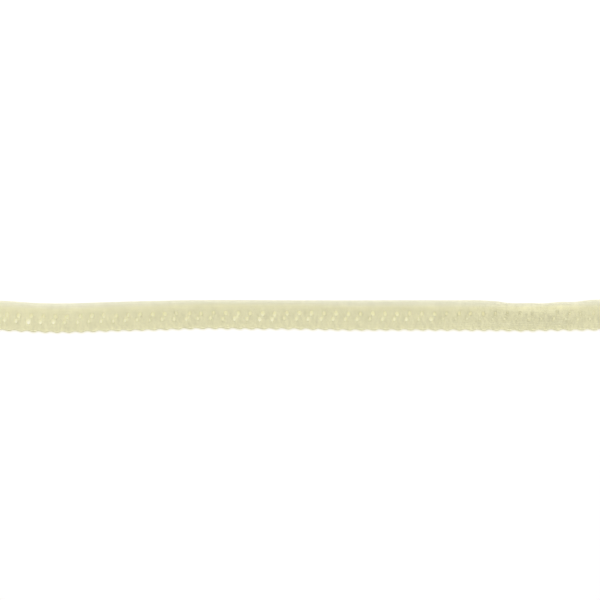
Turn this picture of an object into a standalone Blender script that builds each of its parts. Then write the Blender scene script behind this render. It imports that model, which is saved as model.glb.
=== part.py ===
"""A cut length of fold-over elastic with a scalloped edge, folded along its length.

The tape is one knitted band. It lies along X, with its fold at +Y and its scalloped edge at -Y.
The narrow back leaf lies flat on the surface, and the wide front leaf slopes from the fold down to
the scalloped edge. Metres, +Z up, with the origin on the surface under the middle of the tape.
"""

import math

import bpy
import numpy as np

# One repeat of the knitted pattern is one scallop.
REPEAT = 0.00521
REPEATS = 53
LENGTH = REPEAT * REPEATS

# The cloth's thickness, and its whole width when it is opened out.
CLOTH = 0.001
OPENED_OUT = 0.01625

# The tape touches the surface with its two ends, and its middle lies a hair higher, as does the
# free edge of its back leaf.
REST_RISE = 0.00012
BACK_CURL = 0.00003

# A scallop leans: it swells slowly to its tip and falls back faster. One tip is near the middle.
SCALLOP_DEPTH = 0.0006
SWELL_SHARE = 0.62
FIRST_TIP = 0.00045

# How the tape lies, in millimetres. The station is measured along X from the middle of the tape,
# the fold edge sideways from its usual line, and the width from the fold edge to the scallops.
# A soft ridge stands on the front leaf where the fold is rolled flatter, near the right end: it has
# its height, and its distance in from the fold edge. The slip is how far the slightly stretched
# elastic carries its scallops along X. The elastic bows sideways near its left end.
LIE_COLUMNS = ("station", "fold_edge", "width", "fold_height", "ridge", "ridge_in", "slip")
LIE = (
    (-138.0, 0.01, 12.33, 2.6, 0.0, 4.0, 0.72),
    (-125.0, -0.03, 12.42, 2.6, 0.0, 4.0, 0.72),
    (-117.0, -0.67, 12.13, 2.6, 0.0, 4.0, 0.72),
    (-106.0, -1.11, 12.11, 2.6, 0.0, 4.0, 0.52),
    (-95.0, -1.03, 12.11, 2.6, 0.0, 4.0, 0.42),
    (-85.0, -0.68, 12.07, 2.6, 0.0, 4.0, 0.32),
    (-63.0, -0.09, 12.12, 2.6, 0.0, 4.0, 0.1),
    (-43.0, 0.28, 11.93, 2.6, 0.0, 4.0, 0.0),
    (-21.0, 0.28, 12.03, 2.6, 0.0, 4.0, 0.0),
    (0.0, 0.17, 12.00, 2.6, 0.0, 4.0, 0.0),
    (21.0, 0.15, 12.40, 2.6, 0.0, 4.0, 0.0),
    (43.0, 0.21, 12.41, 2.6, 0.0, 4.0, 0.0),
    (64.0, 0.20, 12.49, 2.6, 0.0, 3.6, 0.0),
    (77.0, 0.17, 12.55, 2.6, 0.05, 2.6, 0.0),
    (84.0, -0.29, 12.09, 2.5, 0.4, 2.6, 0.0),
    (89.0, -0.97, 11.55, 2.3, 0.8, 3.2, 0.0),
    (98.0, -1.00, 11.57, 2.2, 0.9, 3.9, 0.08),
    (104.0, -1.07, 11.30, 2.2, 0.9, 4.1, 0.08),
    (111.0, -0.46, 11.85, 2.3, 0.8, 4.0, 0.08),
    (117.0, -0.48, 11.82, 2.4, 0.5, 3.4, 0.08),
    (122.0, 0.18, 12.38, 2.5, 0.1, 2.8, 0.08),
    (127.0, 0.50, 12.65, 2.6, 0.0, 2.8, 0.08),
    (138.0, 0.46, 12.63, 2.6, 0.0, 2.8, 0.08),
)
MILLIMETRE = 0.001

# Facets: cells along the body and points along the scalloped edge in each repeat, and steps
# across the front leaf, round the fold and across the back leaf.
CELLS_PER_REPEAT = 2
EDGE_POINTS_PER_CELL = 4
FRONT_STEPS = 10
FOLD_STEPS = 7
BACK_STEPS = 2
EDGE_STRIP_SHARE = 0.09

ELASTIC_COLOUR = (0.705, 0.675, 0.445, 1.0)
ELASTIC_ROUGHNESS = 0.72


def lie_at(station):
    """All the columns of LIE after the first, at a station, on a smooth cubic through its rows."""
    rows = np.array(LIE) * MILLIMETRE
    known = rows[:, 0]
    cell = int(np.clip(np.searchsorted(known, station) - 1, 0, len(known) - 2))
    step = known[cell + 1] - known[cell]
    share = (station - known[cell]) / step
    ease = share * share * (3.0 - 2.0 * share)
    values = []
    for column in range(1, len(LIE_COLUMNS)):
        value = rows[:, column]
        slope = np.gradient(value, known)
        leave = slope[cell] * step * share * (1.0 - share) ** 2
        arrive = slope[cell + 1] * step * share**2 * (1.0 - share)
        values.append(value[cell] + (value[cell + 1] - value[cell]) * ease + leave - arrive)
    return values


def scallop(station, slip):
    """How far the scalloped edge stands out of its middle line at a station."""
    phase = ((station - slip - FIRST_TIP) / REPEAT + SWELL_SHARE) % 1.0
    if phase < SWELL_SHARE:
        swell = (1.0 - math.cos(math.pi * phase / SWELL_SHARE)) / 2.0
    else:
        swell = (1.0 + math.cos(math.pi * (phase - SWELL_SHARE) / (1.0 - SWELL_SHARE))) / 2.0
    return SCALLOP_DEPTH * (swell - 0.5)


def rest_rise(station):
    """How much higher than its ends the tape lies at a station: a flat parabola."""
    return REST_RISE * (1.0 - (2.0 * station / LENGTH) ** 2)


def smooth_step(share):
    """0 below a share of 0 and 1 above a share of 1, with a smooth cubic between them."""
    share = min(max(share, 0.0), 1.0)
    return share * share * (3.0 - 2.0 * share)


def section(width, fold_height, ridge, ridge_in):
    """The middle of the cloth in one cross-section, as pairs of distance from the fold edge and height.

    It starts at the scalloped edge, climbs the front leaf on a half cosine with the soft ridge on
    it, turns half a circle round the fold, and runs under it until all the cloth's width is used.
    """
    radius = (fold_height - CLOTH) / 2.0
    crown = fold_height / 2.0
    back_edge = crown + OPENED_OUT - (width - crown) - math.pi * radius
    points = []
    shares = np.append(0.0, np.linspace(EDGE_STRIP_SHARE, 1.0, FRONT_STEPS))
    for share in shares:
        climb = (1.0 - math.cos(math.pi * share)) / 2.0
        down = width - share * (width - crown)
        swell = smooth_step((down - crown) / (ridge_in - crown))
        swell *= smooth_step((width - down) / (width - ridge_in))
        points.append((down, CLOTH / 2.0 + 2.0 * radius * climb + ridge * swell))
    for step in range(1, FOLD_STEPS + 1):
        angle = math.pi / 2.0 - math.pi * step / FOLD_STEPS
        down = crown - radius * math.cos(angle)
        points.append((down, CLOTH / 2.0 + radius + radius * math.sin(angle)))
    for step in range(1, BACK_STEPS + 1):
        share = step / BACK_STEPS
        points.append((crown + (back_edge - crown) * share, CLOTH / 2.0 + BACK_CURL * share**2))
    return points


def cloth_surface():
    """Vertices and faces of the middle of the cloth: rows of one cross-section point, along the tape.

    The body has few cells. The strip along the scallops joins each cell to a finer edge.
    """
    cells = REPEATS * CELLS_PER_REPEAT
    vertices = []
    body_rows = []
    for cell in range(cells + 1):
        station = -LENGTH / 2.0 + cell * LENGTH / cells
        fold_edge, width, fold_height, ridge, ridge_in, _ = lie_at(station)
        row = []
        for down, height in section(width, fold_height, ridge, ridge_in)[1:]:
            row.append(len(vertices))
            vertices.append((station, fold_edge - down, height + rest_rise(station)))
        body_rows.append(row)

    edge = []
    edge_cells = cells * EDGE_POINTS_PER_CELL
    for point in range(edge_cells + 1):
        station = -LENGTH / 2.0 + point * LENGTH / edge_cells
        fold_edge, width, _, _, _, slip = lie_at(station)
        edge.append(len(vertices))
        side = fold_edge - width - scallop(station, slip)
        vertices.append((station, side, CLOTH / 2.0 + rest_rise(station)))

    faces = []
    for cell in range(cells):
        here, there = body_rows[cell], body_rows[cell + 1]
        first = cell * EDGE_POINTS_PER_CELL
        faces.append(edge[first : first + EDGE_POINTS_PER_CELL + 1] + [there[0], here[0]])
        for step in range(len(here) - 1):
            faces.append([here[step], there[step], there[step + 1], here[step + 1]])
    return np.array(vertices), faces


def elastic_material():
    material = bpy.data.materials.new("pale_elastic_knit")
    material.use_nodes = True
    shader = material.node_tree.nodes["Principled BSDF"]
    shader.inputs["Base Color"].default_value = ELASTIC_COLOUR
    shader.inputs["Roughness"].default_value = ELASTIC_ROUGHNESS
    shader.inputs["Metallic"].default_value = 0.0
    return material


def elastic_tape(collection):
    """The whole band: the surface in the middle of the cloth, thickened evenly to both sides."""
    vertices, faces = cloth_surface()
    fold_side = vertices[:, 1].max() + CLOTH / 2.0
    scallop_side = vertices[:, 1].min()
    vertices[:, 1] -= (fold_side + scallop_side) / 2.0
    mesh = bpy.data.meshes.new("elastic_tape")
    mesh.from_pydata(vertices.tolist(), [], faces)
    mesh.materials.append(elastic_material())
    tape = bpy.data.objects.new("elastic_tape", mesh)
    collection.objects.link(tape)
    thickness = tape.modifiers.new("cloth", "SOLIDIFY")
    thickness.thickness = CLOTH
    thickness.offset = 0.0
    thickness.use_even_offset = True
    return tape


def main():
    for old in list(bpy.data.objects):
        bpy.data.objects.remove(old, do_unlink=True)
    collection = bpy.data.collections.new("Fold_over_elastic")
    bpy.context.scene.collection.children.link(collection)
    elastic_tape(collection)


main()
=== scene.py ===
"""A cut length of scalloped fold-over elastic, dressed as the knitted tape that it is.

The tape is one knitted band that lies folded along its length. Everything on it is placed by two
coordinates of the opened-out cloth: how far along the tape a point is, and its distance from the
scalloped edge. One function lays such a point on the folded cloth, so the cloth, its chain
stitches, the thread round each pinhole and the wrapped scallops all follow the same folds.
"""

import math

import bpy
import numpy as np
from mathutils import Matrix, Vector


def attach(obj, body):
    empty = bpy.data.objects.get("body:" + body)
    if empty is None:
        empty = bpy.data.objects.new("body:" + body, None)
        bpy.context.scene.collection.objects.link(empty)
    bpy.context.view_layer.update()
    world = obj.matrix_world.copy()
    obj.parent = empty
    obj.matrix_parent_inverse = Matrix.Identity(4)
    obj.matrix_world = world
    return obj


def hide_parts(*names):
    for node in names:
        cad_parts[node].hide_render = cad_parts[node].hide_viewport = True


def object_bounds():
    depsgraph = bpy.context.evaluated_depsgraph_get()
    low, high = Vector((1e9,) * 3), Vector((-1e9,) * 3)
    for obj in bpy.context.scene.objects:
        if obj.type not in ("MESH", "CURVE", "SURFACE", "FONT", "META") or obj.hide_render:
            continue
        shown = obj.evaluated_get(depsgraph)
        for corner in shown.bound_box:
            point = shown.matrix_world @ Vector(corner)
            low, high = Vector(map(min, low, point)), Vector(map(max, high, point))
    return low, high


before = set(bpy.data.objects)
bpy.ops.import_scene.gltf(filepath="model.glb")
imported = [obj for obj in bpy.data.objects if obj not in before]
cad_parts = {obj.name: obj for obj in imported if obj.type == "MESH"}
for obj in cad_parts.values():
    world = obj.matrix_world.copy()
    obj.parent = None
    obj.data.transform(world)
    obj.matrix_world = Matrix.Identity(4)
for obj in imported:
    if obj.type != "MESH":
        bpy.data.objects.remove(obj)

CAD_LOW, CAD_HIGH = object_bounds()

# The tape, in metres: one repeat of the knitted pattern is one scallop.
REPEAT = 0.00521
REPEATS = 53
LENGTH = REPEAT * REPEATS
CLOTH = 0.001
OPENED_OUT = 0.01625
REST_RISE = 0.00012

# A scallop leans: it swells slowly to its tip and falls back faster. One tip is near the middle, and
# the cloth follows the scallops as far in as their reach.
SCALLOP_DEPTH = 0.0006
SWELL_SHARE = 0.62
FIRST_TIP = 0.00045
SCALLOP_REACH = 0.0015

# How the tape lies, in millimetres: the station along X from the middle, the fold edge sideways
# from its usual line, the width from the fold edge to the scallops, the height of the fold, the
# height of the soft ridge on the front leaf and its distance in from the fold edge, and how far the
# slightly stretched elastic carries its pattern along X.
LIE_COLUMNS = ("station", "fold_edge", "width", "fold_height", "ridge", "ridge_in", "slip")
LIE = (
    (-138.0, 0.01, 12.33, 2.6, 0.0, 4.0, 0.72),
    (-125.0, -0.03, 12.42, 2.6, 0.0, 4.0, 0.72),
    (-117.0, -0.67, 12.13, 2.6, 0.0, 4.0, 0.72),
    (-106.0, -1.11, 12.11, 2.6, 0.0, 4.0, 0.52),
    (-95.0, -1.03, 12.11, 2.6, 0.0, 4.0, 0.42),
    (-85.0, -0.68, 12.07, 2.6, 0.0, 4.0, 0.32),
    (-63.0, -0.09, 12.12, 2.6, 0.0, 4.0, 0.1),
    (-43.0, 0.28, 11.93, 2.6, 0.0, 4.0, 0.0),
    (-21.0, 0.28, 12.03, 2.6, 0.0, 4.0, 0.0),
    (0.0, 0.17, 12.00, 2.6, 0.0, 4.0, 0.0),
    (21.0, 0.15, 12.40, 2.6, 0.0, 4.0, 0.0),
    (43.0, 0.21, 12.41, 2.6, 0.0, 4.0, 0.0),
    (64.0, 0.20, 12.49, 2.6, 0.0, 3.6, 0.0),
    (77.0, 0.17, 12.55, 2.6, 0.05, 2.6, 0.0),
    (84.0, -0.29, 12.09, 2.5, 0.4, 2.6, 0.0),
    (89.0, -0.97, 11.55, 2.3, 0.8, 3.2, 0.0),
    (98.0, -1.00, 11.57, 2.2, 0.9, 3.9, 0.08),
    (104.0, -1.07, 11.30, 2.2, 0.9, 4.1, 0.08),
    (111.0, -0.46, 11.85, 2.3, 0.8, 4.0, 0.08),
    (117.0, -0.48, 11.82, 2.4, 0.5, 3.4, 0.08),
    (122.0, 0.18, 12.38, 2.5, 0.1, 2.8, 0.08),
    (127.0, 0.50, 12.65, 2.6, 0.0, 2.8, 0.08),
    (138.0, 0.46, 12.63, 2.6, 0.0, 2.8, 0.08),
)
MILLIMETRE = 0.001

# The cloth under its stitches: half its thickness, at its rims and beside them too, and how many
# cells its grid has in a repeat and in its whole width.
WEB_HALF = 0.00034
RIM_HALF = (0.00016, 0.00028)
CELLS_ALONG = 16
CELLS_UP = 50
CELL_ALONG = REPEAT / CELLS_ALONG
CELL_UP = OPENED_OUT / CELLS_UP

# Pinholes: each row's place from the nearest scallop tip, as a share of a repeat, and its distance
# from the scallops. A hole is an oval, opened in a block of the web's cells, whose halves come first
# here and the oval's after them. The cloth round it gives way as far out as the spread, in halves of
# the block. The cut ends are plain, and count as far from every hole.
PINHOLES = {
    "upper": (-0.145, 20 * CELL_UP),
    "lower": (-0.395, 13 * CELL_UP),
}
BLOCK_ALONG = CELL_ALONG
BLOCK_UP = 2 * CELL_UP
HOLE_ALONG = 0.00061
HOLE_UP = 0.00089
HOLE_SPREAD = 3.0
HOLE_CORNERS = 1.4
PLAIN_END = 0.0014
FAR = 99.0

# How open the pinholes of each row stand, by the station in millimetres, as a share of their size.
# Where the tape was drawn tighter they have closed up, and each differs a little by chance.
OPENNESS_COLUMNS = ("station", "upper", "lower")
OPENNESS = (
    (-138.0, 1.16, 0.97),
    (-123.0, 1.16, 1.02),
    (-119.0, 1.16, 1.30),
    (-106.0, 1.05, 1.32),
    (-100.0, 1.03, 1.03),
    (-90.0, 1.12, 1.00),
    (-74.0, 1.05, 1.02),
    (-50.0, 1.06, 0.99),
    (-36.0, 1.11, 0.99),
    (-18.0, 1.13, 0.99),
    (-10.0, 1.18, 1.04),
    (36.0, 1.20, 1.06),
    (42.0, 1.12, 1.06),
    (55.0, 1.06, 1.10),
    (61.0, 0.90, 0.52),
    (80.0, 0.84, 0.46),
    (88.0, 0.46, 0.52),
    (108.0, 0.38, 0.56),
    (118.0, 0.60, 0.60),
    (138.0, 0.72, 0.62),
)
OPENNESS_CHANCE = 0.095
OPENNESS_SEED = 11

# The knit's uneven hand: soft waves of a few lengths that cross each other. A set of four ends is
# where a band across the tape starts, is full, wanes and finishes, from the scallops.
HAND_WAVES = 11
HAND_LENGTHS = (0.0026, 0.009)
HAND_DEPTH = 0.00005
HAND_ENDS = (0.0006, 0.0022, 0.0080, 0.0100)
HAND_SEED = 3

# The openwork is drawn a little out of true: to and fro, and towards the fold by the second number
# of each row, in millimetres, at its station, or towards the scallops where that is below nought.
DRAWN_REACH = 0.00020
DRAWN_LENGTHS = (0.006, 0.020)
DRAWN_ENDS = (0.0012, 0.0032, 0.0075, 0.0095)
DRAWN_SEEDS = (8, 9)
DRAWN_TO_FOLD = (
    (-138.0, -0.11),
    (-100.0, -0.11),
    (-64.0, 0.00),
    (-42.0, -0.10),
    (-28.0, -0.22),
    (-10.0, -0.20),
    (14.0, 0.22),
    (40.0, 0.24),
    (64.0, 0.34),
    (100.0, 0.40),
    (138.0, 0.40),
)

# Streaks of tone across the scallop band and the openwork, as waves that head mostly along the
# tape, and soft flutes between the pinholes and the scallops, which lean by so many repeats a metre.
STREAK_WAVES = 17
STREAK_LENGTHS = (0.0010, 0.0038)
STREAK_HEADING = 0.9
STREAK_TONE = 0.038
STREAK_ENDS = (-0.0010, 0.0, 0.0060, 0.0085)
STREAK_SEED = 5
FLUTE_DEPTH = 0.00005
FLUTE_ENDS = (0.0002, 0.0013, 0.0038, 0.0055)
FLUTE_LEAN = 47.0

# Chain stitches: columns of leaning legs in pairs, one column beside the next across the tape. Legs
# differ by chance in their place, as a share of a course, their lean in radians and their size. Each
# band of stitches has its first column and the one after its last.
WALE = 0.00062
COURSES = 10
COURSE = REPEAT / COURSES
LEG_LENGTH = 0.00066
LEG_HALF = (0.00012, 0.00009)
LEG_APART = 0.00013
LEG_LEAN = math.radians(21.0)
LEG_LIFT = 0.00038
LEG_DIP = 0.00003
LEG_RINGS = 3
LEG_SIDES = 4
LEG_STRETCH = (0.6, 1.15)
LEG_CHANCE = (0.03, 0.05, 0.06)
STITCH_CLEARS_HOLE = 1.15
STITCH_SEED = 7
STITCH_BANDS = (
    ("scallop_band_stitches", 0, 6),
    ("openwork_stitches", 6, 13),
    ("plain_stitches", 13, 17),
    ("fold_stitches", 17, 21),
    ("back_leaf_stitches", 21, 26),
)

# The thread round a pinhole, and the wraps over the scalloped edge, which turn this far round it to
# both sides and differ by chance in their place, as a share of their spacing, and their thickness.
EYELET_THREAD = 0.00012
EYELET_LIFT = 0.00037
EYELET_SET_OUT = -0.00001
EYELET_STEPS = 24
WRAPS = 11
WRAP_THREAD = 0.00015
WRAP_REACH = (0.00030, 0.00034)
WRAP_SET_IN = 0.00022
WRAP_LEAN = 0.00025
WRAP_TURN = math.radians(125.0)
WRAP_CHANCE = (0.04, 0.05)
WRAP_STEPS = 8
THREAD_SIDES = 6

# Finishes, as linear colours. A tone is a share of the colour, and it grows from nothing to its full
# strength between two distances from the scallops. The scallop band is a little darker and keeps
# some of its tone all along the tape. The scalloped edge is paler. The plain knit up to the fold is
# paler as a painted highlight, and towards the fold the colour is less full, as a painted
# whitish sheen.
ELASTIC_WEB = (0.68, 0.65, 0.425)
ELASTIC_YARN = (0.81, 0.785, 0.54)
BAND_TONE = 0.991
BAND_KEEPS = 0.7
BAND_FROM = 0.0062
BAND_FULL = 0.0036
PALER_EDGE = 1.03
EDGE_FROM = 0.0012
EDGE_FULL = 0.0003
# Paler up to the fold, as a painted highlight.
FOLD_PAINTED_HIGHLIGHT = 1.035
FOLD_HIGHLIGHT_FROM = 0.0078
FOLD_HIGHLIGHT_FULL = 0.0094
# The colour grows less full towards the fold, as a painted whitish sheen.
PAINTED_SHEEN_FULLNESS = 0.7
PAINTED_SHEEN_FROM = 0.0090
PAINTED_SHEEN_TO = 0.0112

# Painted light and shade along the tape, by the station in millimetres: paler towards both ends
# and darker in the middle. The fold's side of the front leaf has painted light and shade besides:
# painted shade where the tape bows and where its ridge starts, and a painted highlight on the ridge.
PAINTED_LIGHT_ALONG = (
    (-138.0, 1.038),
    (-94.0, 1.034),
    (-80.0, 1.012),
    (-60.0, 1.000),
    (-30.0, 0.995),
    (-15.0, 0.980),
    (20.0, 0.982),
    (45.0, 0.990),
    (60.0, 0.998),
    (78.0, 1.014),
    (90.0, 1.010),
    (104.0, 1.010),
    (115.0, 1.025),
    (124.0, 1.035),
    (138.0, 1.035),
)
# The fold side's painted light and shade grows to full strength between these distances from the
# scallops.
FOLD_SIDE_FROM = 0.0054
FOLD_SIDE_FULL = 0.0070
FOLD_SIDE_PAINTED_LIGHT = (
    (-138.0, 0.993),
    (-112.0, 0.991),
    (-97.0, 0.981),
    (-86.0, 0.981),
    (-72.0, 0.990),
    (-40.0, 0.995),
    (0.0, 1.000),
    (78.0, 1.000),
    (85.0, 0.982),
    (90.0, 0.984),
    (96.0, 1.020),
    (116.0, 1.022),
    (121.0, 1.000),
    (138.0, 1.000),
)

# Yarn: its soft clouds of tone, its fibres, its sheen and the threads that cross the cloth.
CLOUD_SCALE = 260.0
FIBRE_SCALE = 5200.0
FIBRE_DEPTH = 0.00003
ROUGHNESS_SPREAD = 0.08
SHEEN_ROUGHNESS = 0.45
SHEEN_TINT = (1.0, 0.97, 0.86, 1.0)
YARN_SPECULAR = 0.25
WEFT_SCALE = 0.1 / COURSE

# The light, and the floor, which glows a little and warmly, as a light table does.
FLOOR_HALF = 3.0
FLOOR_TONE = (0.345, 0.36, 0.68)
FLOOR_GLOW = (0.645, 0.610, 0.26)
ROOM_LIGHT = 0.6
WINDOW_PLACE = (-0.08, 0.66, 0.86)
WINDOW_SIZE = 0.9
WINDOW_POWER = 10.9

# The picture: how much of the surface one of its pixels shows, and where the fold edge lies in it.
PICTURE_PIXELS = 600
PIXEL = 0.0004255
FOLD_LINE_BELOW_MIDDLE = 0.54 * PIXEL
LENS = 100.0
SENSOR = 36.0
PICTURE_PLANE = 0.0015

# A small step over the cloth, and the least length that anything is divided by.
SMALL_STEP = 0.00005
LEAST = 1e-9
LEAST_REACH = 1e-3


def lie_at(station):
    """All the columns of LIE after the first, at each station.

    Between two rows of LIE each is the cubic that meets both rows' values and slopes.
    """
    rows = np.array(LIE) * MILLIMETRE
    known = rows[:, 0]
    cell = np.clip(np.searchsorted(known, station) - 1, 0, len(known) - 2)
    step = known[cell + 1] - known[cell]
    share = (station - known[cell]) / step
    ease = share * share * (3.0 - 2.0 * share)
    values = []
    for column in range(1, len(LIE_COLUMNS)):
        value = rows[:, column]
        slope = np.gradient(value, known)
        leave = slope[cell] * step * share * (1.0 - share) ** 2
        arrive = slope[cell + 1] * step * share**2 * (1.0 - share)
        values.append(value[cell] + (value[cell + 1] - value[cell]) * ease + leave - arrive)
    return values


def smooth_step(low, high, value):
    """0 below low and 1 above high, with a smooth cubic between them."""
    share = np.clip((value - low) / (high - low), 0.0, 1.0)
    return share * share * (3.0 - 2.0 * share)


def scallop(along):
    """How far the scalloped edge stands out: a half cosine up to the tip, and a shorter one back."""
    phase = ((along - FIRST_TIP) / REPEAT + SWELL_SHARE) % 1.0
    rise = (1.0 - np.cos(np.pi * phase / SWELL_SHARE)) / 2.0
    fall = (1.0 + np.cos(np.pi * (phase - SWELL_SHARE) / (1.0 - SWELL_SHARE))) / 2.0
    return SCALLOP_DEPTH * (np.where(phase < SWELL_SHARE, rise, fall) - 0.5)


FOLD_LINE = CAD_HIGH.y - lie_at(np.linspace(CAD_LOW.x, CAD_HIGH.x, 2000))[0].max()


def middle_of_cloth(along, distance):
    """Points in the middle of the cloth, at a distance from the scallops over the opened-out cloth.

    The front leaf climbs on a half cosine with the soft ridge on it, the fold is half a circle and
    the back leaf is flat, and each takes up as much of the distance as it is long.
    """
    station = along + lie_at(along)[-1]
    fold_edge, width, fold_height, ridge, ridge_in, _ = lie_at(station)
    radius = (fold_height - CLOTH) / 2.0
    crown = fold_height / 2.0
    front = width - crown
    climb = np.pi * np.clip(distance / front, 0.0, 1.0)
    turn = np.clip((distance - front) / radius, 0.0, np.pi)
    run = np.clip(distance - front - np.pi * radius, 0.0, None)
    on_front = width - np.minimum(distance, front)
    swell = smooth_step(crown, ridge_in, on_front)
    swell = swell * smooth_step(0.0, width - ridge_in, width - on_front)
    near_edge = np.clip(1.0 - distance / SCALLOP_REACH, 0.0, 1.0) ** 2
    down = on_front + scallop(along) * near_edge - radius * np.sin(turn) + run
    height = CLOTH / 2.0 + radius * (np.cos(turn) - np.cos(climb)) + ridge * swell
    rise = REST_RISE * (1.0 - (2.0 * station / LENGTH) ** 2)
    return np.stack([station, FOLD_LINE + fold_edge - down, height + rise], axis=-1)


def band(ends, distance):
    """A band across the tape: a smooth step up over its first two ends, and down over the others."""
    start, full, wane, finish = ends
    return smooth_step(start, full, distance) * (1.0 - smooth_step(wane, finish, distance))


def uneven(along, distance, count, lengths, widest_heading, seed):
    """A sum of sines over the cloth, each with a heading, a length and a start of its own."""
    chance = np.random.default_rng(seed)
    waves = 0.0
    for _ in range(count):
        heading = chance.uniform(-widest_heading, widest_heading)
        begin = chance.uniform(0.0, 2.0 * np.pi)
        across = (along * np.cos(heading) + distance * np.sin(heading)) / chance.uniform(*lengths)
        waves = waves + np.sin(2.0 * np.pi * across + begin)
    return waves / math.sqrt(count)


def relief(along, distance):
    """How far the cloth puckers out of its middle.

    Soft flutes run between the pinholes and the scallops, a cosine along the tape, and the hand is
    uneven.
    """
    phase = (along - FIRST_TIP) / REPEAT + FLUTE_LEAN * distance
    flutes = FLUTE_DEPTH * band(FLUTE_ENDS, distance) * np.cos(2.0 * np.pi * phase)
    hand = uneven(along, distance, HAND_WAVES, HAND_LENGTHS, np.pi, HAND_SEED)
    return flutes + HAND_DEPTH * band(HAND_ENDS, distance) * hand


def drawn(along, distance):
    """Where a point of the pattern lies on the cloth, because the openwork is drawn out of true."""
    openwork = band(DRAWN_ENDS, distance)
    aside, upward = (
        uneven(along, distance, HAND_WAVES, DRAWN_LENGTHS, np.pi, seed) for seed in DRAWN_SEEDS
    )
    stations, shifts = np.array(DRAWN_TO_FOLD).T * MILLIMETRE
    upward = DRAWN_REACH * upward + np.interp(along, stations, shifts)
    return along + openwork * DRAWN_REACH * aside, distance + openwork * upward


def on_tape(along, distance, lift):
    """Points of the pattern on the folded tape, lifted off the middle of the cloth.

    They are lifted along the normal, which is the cross product of the surface's two directions,
    by small differences.
    """
    step = SMALL_STEP
    along, distance = drawn(along, distance)
    here = middle_of_cloth(along, distance)
    ahead = middle_of_cloth(along + step, distance) - middle_of_cloth(along - step, distance)
    upward = middle_of_cloth(along, distance + step) - middle_of_cloth(along, distance - step)
    normal = np.cross(ahead, upward)
    normal /= np.linalg.norm(normal, axis=-1, keepdims=True)
    return here + normal * (lift + relief(along, distance))[..., None]


def pinhole_openness():
    """How open each pinhole of each row stands: they are numbered from -REPEATS to REPEATS."""
    chance = np.random.default_rng(OPENNESS_SEED)
    table = np.array(OPENNESS)
    numbers = np.arange(-REPEATS, REPEATS + 1)
    shares = {}
    for row, (from_tip, _) in PINHOLES.items():
        station = (FIRST_TIP + REPEAT * (numbers + from_tip)) / MILLIMETRE
        share = np.interp(station, table[:, 0], table[:, OPENNESS_COLUMNS.index(row)])
        shares[row] = share * (1.0 + chance.normal(0.0, OPENNESS_CHANCE, len(numbers)))
    return shares


OPEN_SHARES = pinhole_openness()


def hole_offsets(row, along, distance):
    """Offsets from the middle of a row's nearest pinhole, in halves of its block, and its openness.

    Near the cut ends the cloth has no pinholes, and both offsets are large there.
    """
    from_tip, hole_distance = PINHOLES[row]
    repeats = (along - FIRST_TIP) / REPEAT - from_tip
    number = np.round(repeats)
    to_middle = (repeats - number) * REPEAT
    inside = np.abs(along - to_middle) < LENGTH / 2.0 - PLAIN_END
    aside = np.where(inside, to_middle / BLOCK_ALONG, FAR)
    above = np.where(inside, (distance - hole_distance) / BLOCK_UP, FAR)
    return aside, above, OPEN_SHARES[row][number.astype(int) + REPEATS]


def nearest_hole(along, distance):
    """The offsets and the openness of the nearest pinhole of either row."""
    upper, lower = (hole_offsets(row, along, distance) for row in PINHOLES)
    reach = [np.maximum(np.abs(aside), np.abs(above)) for aside, above, _ in (upper, lower)]
    return [np.where(reach[0] < reach[1], one, other) for one, other in zip(upper, lower)]


def round_holes(along, distance):
    """Moves points near a pinhole, so that its block's square rim becomes an oval.

    A point on the rim goes wholly onto the oval. One further out takes less and less of the move of
    the rim's point in its own direction, and one further in takes its share of it. A block has more
    corners on its long sides, so each direction is first turned up a little. Where two pinholes are
    near, both moves add up.
    """
    moved_along, moved_distance = along, distance
    for row in PINHOLES:
        aside, above, share = hole_offsets(row, along, distance)
        square = np.maximum(np.maximum(np.abs(aside), np.abs(above)), LEAST)
        turned = HOLE_CORNERS * above
        circle = np.maximum(np.hypot(aside, turned), LEAST)
        pull = np.minimum(square, 1.0) * (1.0 - smooth_step(1.0, HOLE_SPREAD, square))
        onto_along = aside / circle * HOLE_ALONG * share - aside / square * BLOCK_ALONG
        onto_up = turned / circle * HOLE_UP * share - above / square * BLOCK_UP
        moved_along = moved_along + pull * onto_along
        moved_distance = moved_distance + pull * onto_up
    return moved_along, moved_distance


def out_of_holes(along, distance):
    """Points in a pinhole, moved straight away from its middle to its rim."""
    aside, above, share = nearest_hole(along, distance)
    off_along, off_up = aside * BLOCK_ALONG, above * BLOCK_UP
    reach = np.hypot(off_along / HOLE_ALONG, off_up / HOLE_UP) / share
    further = np.clip(1.0 / np.maximum(reach, LEAST_REACH) - 1.0, 0.0, None)
    return along + off_along * further, distance + off_up * further


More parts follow.
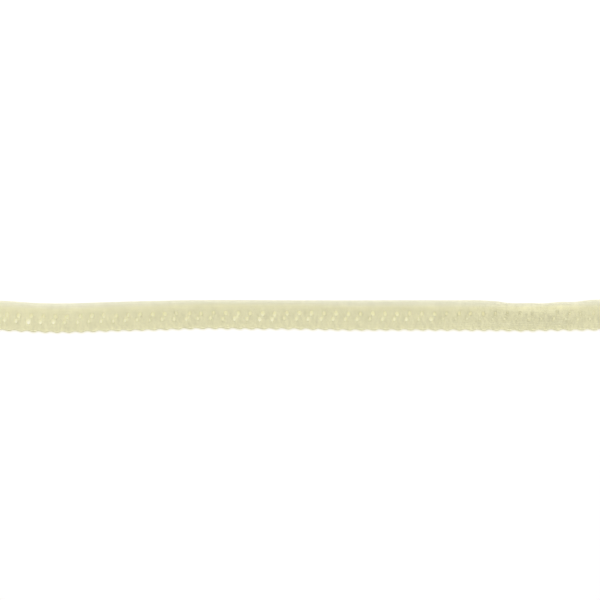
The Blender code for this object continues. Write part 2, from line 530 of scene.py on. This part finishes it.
def tone_and_painted_light(along, distance):
    """The colour's tone, with painted light and shade: lines through two tables along the tape,
    times smooth steps to both edges.

    The scallop band follows the first table less, the second table is the fold side's painted light
    and shade, the step up to the fold is a painted highlight, and the streaks add a little and take
    a little.
    """
    # The first table is painted light and shade along the tape, the second the fold side's.
    light_along_tape, fold_side_light = (
        np.interp(along / MILLIMETRE, *np.array(table).T) - 1.0
        for table in (PAINTED_LIGHT_ALONG, FOLD_SIDE_PAINTED_LIGHT)
    )
    in_band = smooth_step(-BAND_FROM, -BAND_FULL, -distance)
    along_it = 1.0 + (1.0 - BAND_KEEPS * in_band) * light_along_tape + (BAND_TONE - 1.0) * in_band
    # The fold's side takes its painted shade and its painted highlight.
    along_it = along_it + fold_side_light * smooth_step(FOLD_SIDE_FROM, FOLD_SIDE_FULL, distance)
    # Paler up to the fold, as a painted highlight.
    fold_highlight = 1.0 + (FOLD_PAINTED_HIGHLIGHT - 1.0) * smooth_step(FOLD_HIGHLIGHT_FROM, FOLD_HIGHLIGHT_FULL, distance)
    towards_edge = 1.0 + (PALER_EDGE - 1.0) * smooth_step(-EDGE_FROM, -EDGE_FULL, -distance)
    streaks = uneven(along, distance, STREAK_WAVES, STREAK_LENGTHS, STREAK_HEADING, STREAK_SEED)
    streaks = 1.0 + STREAK_TONE * band(STREAK_ENDS, distance) * streaks
    return along_it * fold_highlight * towards_edge * streaks


def painted_sheen_fullness(distance):
    """How full the colour is: a smooth step down to the fold, as a painted whitish sheen."""
    return 1.0 - (1.0 - PAINTED_SHEEN_FULLNESS) * smooth_step(PAINTED_SHEEN_FROM, PAINTED_SHEEN_TO, distance)


def fill_mesh(name, points, uv, *face_arrays):
    """A mesh from arrays: points, each point's place on the opened-out cloth as its UV, and faces.

    It also keeps each point's tone, with its painted light and shade, and how full its colour is
    under the painted sheen, in two attributes.
    """
    mesh = bpy.data.meshes.new(name)
    corners = np.concatenate([faces.ravel() for faces in face_arrays]).astype(np.int32)
    sizes = np.concatenate([np.full(len(faces), faces.shape[1]) for faces in face_arrays])
    starts = np.concatenate([[0], np.cumsum(sizes)[:-1]]).astype(np.int32)
    mesh.vertices.add(len(points))
    mesh.vertices.foreach_set("co", points.astype(np.float32).ravel())
    mesh.loops.add(len(corners))
    mesh.loops.foreach_set("vertex_index", corners)
    mesh.polygons.add(len(sizes))
    mesh.polygons.foreach_set("loop_start", starts)
    mesh.update(calc_edges=True)
    layer = mesh.uv_layers.new(name="opened_out")
    layer.data.foreach_set("uv", uv[corners].astype(np.float32).ravel())
    for finish, values in (("tone_and_painted_light", tone_and_painted_light(*uv.T)), ("painted_sheen_fullness", painted_sheen_fullness(uv[:, 1]))):
        attribute = mesh.attributes.new(finish, "FLOAT", "POINT")
        attribute.data.foreach_set("value", values.astype(np.float32))
    mesh.shade_smooth()
    return mesh


def piece(name, mesh, material):
    """One piece of the tape, on its only body, with the material that it is given."""
    mesh.materials.append(material)
    made = bpy.data.objects.new(name, mesh)
    bpy.context.scene.collection.objects.link(made)
    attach(made, "root")
    return made


def rim_quads(kept, outer, inner):
    """The strips of faces that close the cloth where a kept cell of the grid meets a missing one.

    kept marks the cells, and outer and inner number the grid's points on the cloth's two sides.
    """
    cells = np.pad(kept, 1)
    strips = []
    for axis, ahead in ((0, 1), (0, -1), (1, 1), (1, -1)):
        i, j = (index - 1 for index in np.nonzero(cells & ~np.roll(cells, -ahead, axis=axis)))
        beyond = (ahead + 1) // 2
        if axis == 0:
            first, second = (i + beyond, j), (i + beyond, j + 1)
        else:
            first, second = (i + 1, j + beyond), (i, j + beyond)
        if ahead == -1:
            first, second = second, first
        strips.append(np.stack([outer[second], outer[first], inner[first], inner[second]], axis=-1))
    return np.concatenate(strips)


def web_grid():
    """The grid of the opened-out cloth as two arrays, and which of its cells are cloth."""
    columns = REPEATS * CELLS_ALONG
    lattice = FIRST_TIP + REPEAT * PINHOLES["upper"][0]
    first = round((-LENGTH / 2.0 - lattice) / CELL_ALONG)
    line = lattice + CELL_ALONG * (first + np.arange(columns + 1))
    along, distance = np.meshgrid(line, CELL_UP * np.arange(CELLS_UP + 1), indexing="ij")
    middle_along = (along[1:, 1:] + along[:-1, :-1]) / 2.0
    middle_distance = (distance[1:, 1:] + distance[:-1, :-1]) / 2.0
    aside, above, _ = nearest_hole(middle_along, middle_distance)
    return along, distance, np.maximum(np.abs(aside), np.abs(above)) > 1.0


def half_thickness(kept):
    """Half the cloth's thickness at each point of the grid, less towards its rims to round them."""
    padded = np.pad(kept, 1)
    inside = padded[1:, 1:] & padded[:-1, 1:] & padded[1:, :-1] & padded[:-1, :-1]
    grown = np.pad(~inside, 1)
    rows, columns = inside.shape
    beside = np.zeros_like(inside)
    for i in range(3):
        for j in range(3):
            beside |= grown[i : i + rows, j : j + columns]
    return np.where(~inside, RIM_HALF[0], np.where(beside, RIM_HALF[1], WEB_HALF))


def knitted_web(material):
    """The cloth itself: a grid on the folds with ovals left out, closed through its thickness.

    Its outer side is the grid lifted off the middle of the cloth, its inner side is the same grid
    let down, and strips join the two along every edge and round every pinhole.
    """
    along, distance, kept = web_grid()
    half = half_thickness(kept)
    bent_along, bent_distance = round_holes(along, distance)
    sides = [on_tape(bent_along, bent_distance, lift).reshape(-1, 3) for lift in (half, -half)]
    outer = np.arange(along.size).reshape(along.shape)
    inner = outer + along.size
    i, j = np.nonzero(kept)
    faces = np.concatenate([
        np.stack([outer[i, j], outer[i + 1, j], outer[i + 1, j + 1], outer[i, j + 1]], axis=-1),
        np.stack([inner[i, j], inner[i, j + 1], inner[i + 1, j + 1], inner[i + 1, j]], axis=-1),
        rim_quads(kept, outer, inner),
    ])
    flat = np.stack([bent_along, bent_distance], axis=-1).reshape(-1, 2)
    used, faces = np.unique(faces, return_inverse=True)
    points = np.concatenate(sides)[used]
    uv = np.concatenate([flat, flat])[used]
    mesh = fill_mesh("knitted_web", points, uv, faces.reshape(-1, 4))
    return piece("knitted_web", mesh, material)


def spindle(rings, sides):
    """A closed spindle along its first axis, from -1 to 1: its points, its end and its side faces.

    At a share s of the way from end to end its radius is the square root of sin(pi s).
    """
    share = np.arange(1, rings + 1) / (rings + 1)
    radius = np.sqrt(np.sin(np.pi * share))[:, None]
    angle = 2.0 * np.pi * np.arange(sides) / sides
    length = np.repeat(2.0 * share - 1.0, sides)
    across = [(radius * turn(angle)).ravel() for turn in (np.cos, np.sin)]
    round_it = np.stack([length, *across], axis=-1)
    points = np.concatenate([[[-1.0, 0.0, 0.0]], round_it, [[1.0, 0.0, 0.0]]])
    here = 1 + np.arange(sides)
    there = 1 + (np.arange(sides) + 1) % sides
    last = (rings - 1) * sides
    start = np.stack([np.zeros_like(here), there, here], axis=-1)
    finish = np.stack([np.full_like(here, len(points) - 1), last + here, last + there], axis=-1)
    ring = np.arange(rings - 1)[:, None] * sides
    bands = np.stack([ring + here, ring + there, ring + sides + there, ring + sides + here], axis=-1)
    return points, np.concatenate([start, finish]), bands.reshape(-1, 4)


def repeat_faces(faces, copies, points_each):
    """The same faces for each of many copies, whose points follow each other in one list."""
    first_points = points_each * np.arange(copies)[:, None, None]
    return (faces[None] + first_points).reshape(-1, faces.shape[1])


def chain_stitches(name, first_wale, last_wale, material, random):
    """Columns of chain stitches on the cloth: spindles in pairs that lean apart.

    Each leg is a spindle whose middle and heading move as the cloth does round a pinhole, with its
    leading end a little lower. A stitch that would lie in a pinhole is left out.
    """
    by_place, by_lean, by_size = LEG_CHANCE
    wales = np.arange(first_wale, last_wale)
    courses = np.arange(round(LENGTH / COURSE) - 1)
    grids = np.meshgrid(wales, courses, (-1.0, 1.0), indexing="ij")
    wale, course, side = (grid.ravel() for grid in grids)
    distance = (wale + 0.5) * WALE + side * LEG_APART
    along = COURSE * (course + 1.0 + random.normal(0.0, by_place, len(wale))) - LENGTH / 2.0
    aside, above, _ = nearest_hole(along, distance)
    stays = np.hypot(aside, above) > STITCH_CLEARS_HOLE
    along, distance, side = along[stays], distance[stays], side[stays]

    lean = side * LEG_LEAN + random.normal(0.0, by_lean, side.shape)
    reach_along = LEG_LENGTH / 4.0 * np.cos(lean)
    reach_up = LEG_LENGTH / 4.0 * np.sin(lean)
    middle = np.stack(round_holes(along, distance), axis=-1)[:, None]
    tip = np.stack(round_holes(along + reach_along, distance + reach_up), axis=-1)[:, None]
    tail = np.stack(round_holes(along - reach_along, distance - reach_up), axis=-1)[:, None]
    stretch = np.linalg.norm(tip - tail, axis=-1, keepdims=True)
    heading = (tip - tail) / stretch
    square_to_it = np.stack([-heading[..., 1], heading[..., 0]], axis=-1)
    long = np.clip(stretch / (LEG_LENGTH / 2.0), *LEG_STRETCH)

    unit, ends, bands = spindle(LEG_RINGS, LEG_SIDES)
    size = 1.0 + random.normal(0.0, by_size, (len(side), 1))
    length = unit[:, 0, None] * LEG_LENGTH / 2.0
    thick = unit[:, 1, None] * LEG_HALF[0]
    flat = middle + heading * length * long + square_to_it * thick * size[..., None]
    flat = np.stack(out_of_holes(flat[..., 0], flat[..., 1]), axis=-1)
    lift = LEG_LIFT + unit[:, 2] * LEG_HALF[1] * size - LEG_DIP * unit[:, 0]
    points = on_tape(flat[..., 0], flat[..., 1], lift).reshape(-1, 3)
    faces = [repeat_faces(part, len(along), len(unit)) for part in (ends, bands)]
    return piece(name, fill_mesh(name, points, flat.reshape(-1, 2), *faces), material)


def tube_faces(steps, closed):
    """Faces of a round thread's rings: its side, and two flat caps where its ends are open."""
    here = np.arange(THREAD_SIDES)
    there = (here + 1) % THREAD_SIDES
    ring = np.arange(steps if closed else steps - 1)[:, None] * THREAD_SIDES
    after = (ring + THREAD_SIDES) % (steps * THREAD_SIDES)
    side = np.stack([ring + here, ring + there, after + there, after + here], axis=-1).reshape(-1, 4)
    if closed:
        return [side]
    fan = np.arange(1, THREAD_SIDES - 1)
    start = np.stack([np.zeros_like(fan), fan + 1, fan], axis=-1)
    finish = np.stack([np.zeros_like(fan), fan, fan + 1], axis=-1) + (steps - 1) * THREAD_SIDES
    return [side, np.concatenate([start, finish])]


def threads(name, paths, radius, upright, closed, material):
    """Round threads along many paths at once.

    paths holds along, distance and lift for each step of each thread. A ring stands square to its
    path, on a direction that leans least from upright and on the direction square to both.
    """
    count, steps, _ = paths.shape
    if closed:
        ahead = np.roll(paths, -1, axis=1) - np.roll(paths, 1, axis=1)
    else:
        ahead = np.gradient(paths, axis=1)
    ahead /= np.linalg.norm(ahead, axis=-1, keepdims=True)
    first = np.array(upright) - ahead * (ahead @ np.array(upright))[..., None]
    first /= np.linalg.norm(first, axis=-1, keepdims=True)
    second = np.cross(ahead, first)
    angle = 2.0 * np.pi * np.arange(THREAD_SIDES) / THREAD_SIDES
    around = first[:, :, None] * np.cos(angle)[:, None]
    around = around + second[:, :, None] * np.sin(angle)[:, None]
    rings = paths[:, :, None] + radius[..., None, None] * around
    along, distance, lift = np.moveaxis(rings.reshape(-1, 3), -1, 0)
    points = on_tape(along, distance, lift)
    uv = np.stack([along, distance], axis=-1)
    faces = [repeat_faces(part, count, steps * THREAD_SIDES) for part in tube_faces(steps, closed)]
    return piece(name, fill_mesh(name, points, uv, *faces), material)


def pinhole_threads(material):
    """A ring of thread round each pinhole: an oval path just outside the hole, on the cloth."""
    tips = FIRST_TIP + REPEAT * np.arange(-REPEATS, REPEATS + 1)
    angle = 2.0 * np.pi * np.arange(EYELET_STEPS) / EYELET_STEPS
    paths = []
    for row, (from_tip, hole_distance) in PINHOLES.items():
        middles = tips + REPEAT * from_tip
        made = np.abs(middles) < LENGTH / 2.0 - PLAIN_END
        share = OPEN_SHARES[row][made, None]
        along = middles[made, None] + (HOLE_ALONG * share + EYELET_SET_OUT) * np.cos(angle)
        distance = hole_distance + (HOLE_UP * share + EYELET_SET_OUT) * np.sin(angle)
        paths.append(np.stack(np.broadcast_arrays(along, distance, EYELET_LIFT), axis=-1))
    paths = np.concatenate(paths)
    radius = np.full(paths.shape[:2], EYELET_THREAD)
    return threads("pinhole_threads", paths, radius, (0.0, 0.0, 1.0), True, material)


def edge_wraps(material, random):
    """Threads wrapped over the scalloped edge, side by side from its outer to its inner face.

    Each path is most of a circle round the edge, and leans along the tape as it goes.
    """
    by_place, by_thickness = WRAP_CHANCE
    wraps = REPEATS * WRAPS - 2
    place = np.arange(wraps) + 1.5 + random.normal(0.0, by_place, wraps)
    middle = REPEAT / WRAPS * place - LENGTH / 2.0
    angle = np.linspace(-WRAP_TURN, WRAP_TURN, WRAP_STEPS)
    along = middle[:, None] + WRAP_LEAN * np.sin(angle / 2.0)
    distance = WRAP_SET_IN - WRAP_REACH[0] * np.cos(angle)
    lift = -WRAP_REACH[1] * np.sin(angle)
    paths = np.stack(np.broadcast_arrays(along, distance, lift), axis=-1)
    thickness = 1.0 + random.normal(0.0, by_thickness, (wraps, 1))
    radius = WRAP_THREAD * thickness * np.ones(WRAP_STEPS)
    return threads("edge_wraps", paths, radius, (1.0, 0.0, 0.0), False, material)


def node(tree, kind, **values):
    """A shader node with its settings, and its unlinked sockets by name."""
    made = tree.nodes.new(kind)
    for name, value in values.items():
        if hasattr(made, name):
            setattr(made, name, value)
        else:
            made.inputs[name.replace("_", " ")].default_value = value
    return made


def knit_material(name, colour, spread, roughness, sheen, weft_depth):
    """Elastic yarn: a colour with soft clouds in it, fine fibres, and cross threads as bump."""
    material = bpy.data.materials.new(name)
    material.use_nodes = True
    tree = material.node_tree
    link = tree.links.new
    shader = tree.nodes["Principled BSDF"]
    shader.inputs["Sheen Weight"].default_value = sheen
    shader.inputs["Sheen Roughness"].default_value = SHEEN_ROUGHNESS
    shader.inputs["Sheen Tint"].default_value = SHEEN_TINT
    shader.inputs["Specular IOR Level"].default_value = YARN_SPECULAR

    place = node(tree, "ShaderNodeUVMap", uv_map="opened_out")
    clouds = node(tree, "ShaderNodeTexNoise", Scale=CLOUD_SCALE, Detail=3.0, Roughness=0.6)
    fibres = node(tree, "ShaderNodeTexNoise", Scale=FIBRE_SCALE, Detail=2.0, Roughness=0.6)
    link(place.outputs["UV"], clouds.inputs["Vector"])
    link(place.outputs["UV"], fibres.inputs["Vector"])

    tone = node(tree, "ShaderNodeValToRGB")
    dark = tuple(channel * (1.0 - spread) for channel in colour)
    light = tuple(min(1.0, channel * (1.0 + spread)) for channel in colour)
    tone.color_ramp.elements[0].position = 0.3
    tone.color_ramp.elements[0].color = (*dark, 1.0)
    tone.color_ramp.elements[1].position = 0.7
    tone.color_ramp.elements[1].color = (*light, 1.0)
    link(clouds.outputs["Fac"], tone.inputs["Fac"])
    # The tone attribute brings painted light and shade and a painted highlight near the fold, and
    # the other attribute takes colour out towards the fold as a painted whitish sheen.
    paler = node(tree, "ShaderNodeAttribute", attribute_name="tone_and_painted_light")
    fuller = node(tree, "ShaderNodeAttribute", attribute_name="painted_sheen_fullness")
    shade = node(tree, "ShaderNodeHueSaturation")
    link(paler.outputs["Fac"], shade.inputs["Value"])
    link(fuller.outputs["Fac"], shade.inputs["Saturation"])
    link(tone.outputs["Color"], shade.inputs["Color"])
    link(shade.outputs["Color"], shader.inputs["Base Color"])

    rough = node(tree, "ShaderNodeMapRange")
    rough.inputs["To Min"].default_value = roughness - ROUGHNESS_SPREAD
    rough.inputs["To Max"].default_value = roughness + ROUGHNESS_SPREAD
    link(fibres.outputs["Fac"], rough.inputs["Value"])
    link(rough.outputs["Result"], shader.inputs["Roughness"])

    fuzz = node(tree, "ShaderNodeBump", Strength=0.5, Distance=FIBRE_DEPTH)
    link(fibres.outputs["Fac"], fuzz.inputs["Height"])
    weft = node(tree, "ShaderNodeTexWave", wave_type="BANDS", bands_direction="X")
    weft.inputs["Scale"].default_value = WEFT_SCALE
    weft.inputs["Distortion"].default_value = 1.2
    weft.inputs["Detail"].default_value = 1.0
    link(place.outputs["UV"], weft.inputs["Vector"])
    threads_across = node(tree, "ShaderNodeBump", Strength=0.6, Distance=weft_depth)
    link(weft.outputs["Fac"], threads_across.inputs["Height"])
    link(fuzz.outputs["Normal"], threads_across.inputs["Normal"])
    link(threads_across.outputs["Normal"], shader.inputs["Normal"])
    return material


def plain_floor():
    """A pale floor that glows a little, so that light comes up through the pinholes."""
    half = FLOOR_HALF
    mesh = bpy.data.meshes.new("floor")
    corners = [(-half, -half, 0.0), (half, -half, 0.0), (half, half, 0.0), (-half, half, 0.0)]
    mesh.from_pydata(corners, [], [(0, 1, 2, 3)])
    material = bpy.data.materials.new("light_table")
    material.use_nodes = True
    shader = material.node_tree.nodes["Principled BSDF"]
    shader.inputs["Base Color"].default_value = (*FLOOR_TONE, 1.0)
    shader.inputs["Roughness"].default_value = 0.9
    shader.inputs["Specular IOR Level"].default_value = 0.1
    shader.inputs["Emission Color"].default_value = (*FLOOR_GLOW, 1.0)
    shader.inputs["Emission Strength"].default_value = 1.0
    mesh.materials.append(material)
    floor = bpy.data.objects.new("floor", mesh)
    bpy.context.scene.collection.objects.link(floor)


def look_down():
    """A camera above the picture's middle, as high as its lens needs for the picture's width."""
    data = bpy.data.cameras.new("above")
    data.lens = LENS
    data.sensor_width = SENSOR
    camera = bpy.data.objects.new("above", data)
    height = PICTURE_PIXELS * PIXEL * LENS / SENSOR
    camera.location = (0.0, FOLD_LINE + FOLD_LINE_BELOW_MIDDLE, PICTURE_PLANE + height)
    bpy.context.scene.collection.objects.link(camera)
    bpy.context.scene.camera = camera


def soft_light(name, place, size, power):
    """A square lamp at a place, aimed at the tape's middle."""
    data = bpy.data.lights.new(name, "AREA")
    data.shape = "SQUARE"
    data.size = size
    data.energy = power
    lamp = bpy.data.objects.new(name, data)
    lamp.location = place
    x, y, z = place
    lamp.rotation_euler = (math.atan2(math.hypot(x, y), z), 0.0, math.atan2(x, -y))
    bpy.context.scene.collection.objects.link(lamp)


def studio():
    """An even white room, a broad lamp beyond the fold, and plain colours as they are."""
    world = bpy.data.worlds.new("studio")
    world.use_nodes = True
    world.node_tree.nodes["Background"].inputs["Color"].default_value = (1.0, 1.0, 1.0, 1.0)
    world.node_tree.nodes["Background"].inputs["Strength"].default_value = ROOM_LIGHT
    scene = bpy.context.scene
    scene.world = world
    scene.view_settings.view_transform = "Standard"
    soft_light("window", WINDOW_PLACE, WINDOW_SIZE, WINDOW_POWER)


studio()
plain_floor()
look_down()

random = np.random.default_rng(STITCH_SEED)
web_material = knit_material(
    "elastic_web", ELASTIC_WEB, spread=0.05, roughness=0.75, sheen=0.08, weft_depth=0.00006
)
yarn_material = knit_material(
    "elastic_yarn", ELASTIC_YARN, spread=0.04, roughness=0.62, sheen=0.1, weft_depth=0.00002
)
web = knitted_web(web_material)
on_it = [
    chain_stitches(name, first, last, yarn_material, random) for name, first, last in STITCH_BANDS
]
on_it.append(pinhole_threads(yarn_material))
on_it.append(edge_wraps(yarn_material, random))
for made in (web, *on_it):
    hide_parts("elastic_tape")
